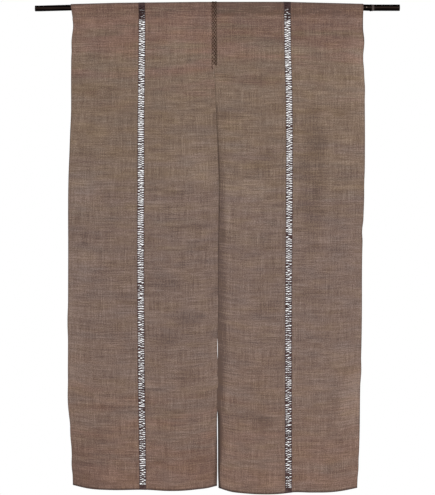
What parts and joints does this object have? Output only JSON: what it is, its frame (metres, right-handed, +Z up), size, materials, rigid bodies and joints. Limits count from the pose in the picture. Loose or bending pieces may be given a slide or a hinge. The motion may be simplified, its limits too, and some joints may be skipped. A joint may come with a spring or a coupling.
{
  "type": "noren curtain on a bamboo rod",
  "caption": "Split doorway curtain of hand-woven hemp panels with an openwork strip in each, laced together at the top and hung by a rod pocket on a dark bamboo rod.",
  "frame": {"origin": "middle of the rod's axis", "axes": "+X along the rod to the right of someone who faces the front, +Y to the back, +Z up"},
  "size_m": [1.112, 0.0457, 1.5038],
  "materials": {
    "lacquered_bamboo": "black-brown lacquer, satin",
    "hemp_cloth": "plain weave of hand-spun hemp, matt",
    "dark_thread": "twisted thread, matt"
  },
  "bodies": {
    "root": {"rod": "lacquered_bamboo", "panel_left": "hemp_cloth", "panel_right": "hemp_cloth", "lacing": "dark_thread"}
  },
  "joints": []
}
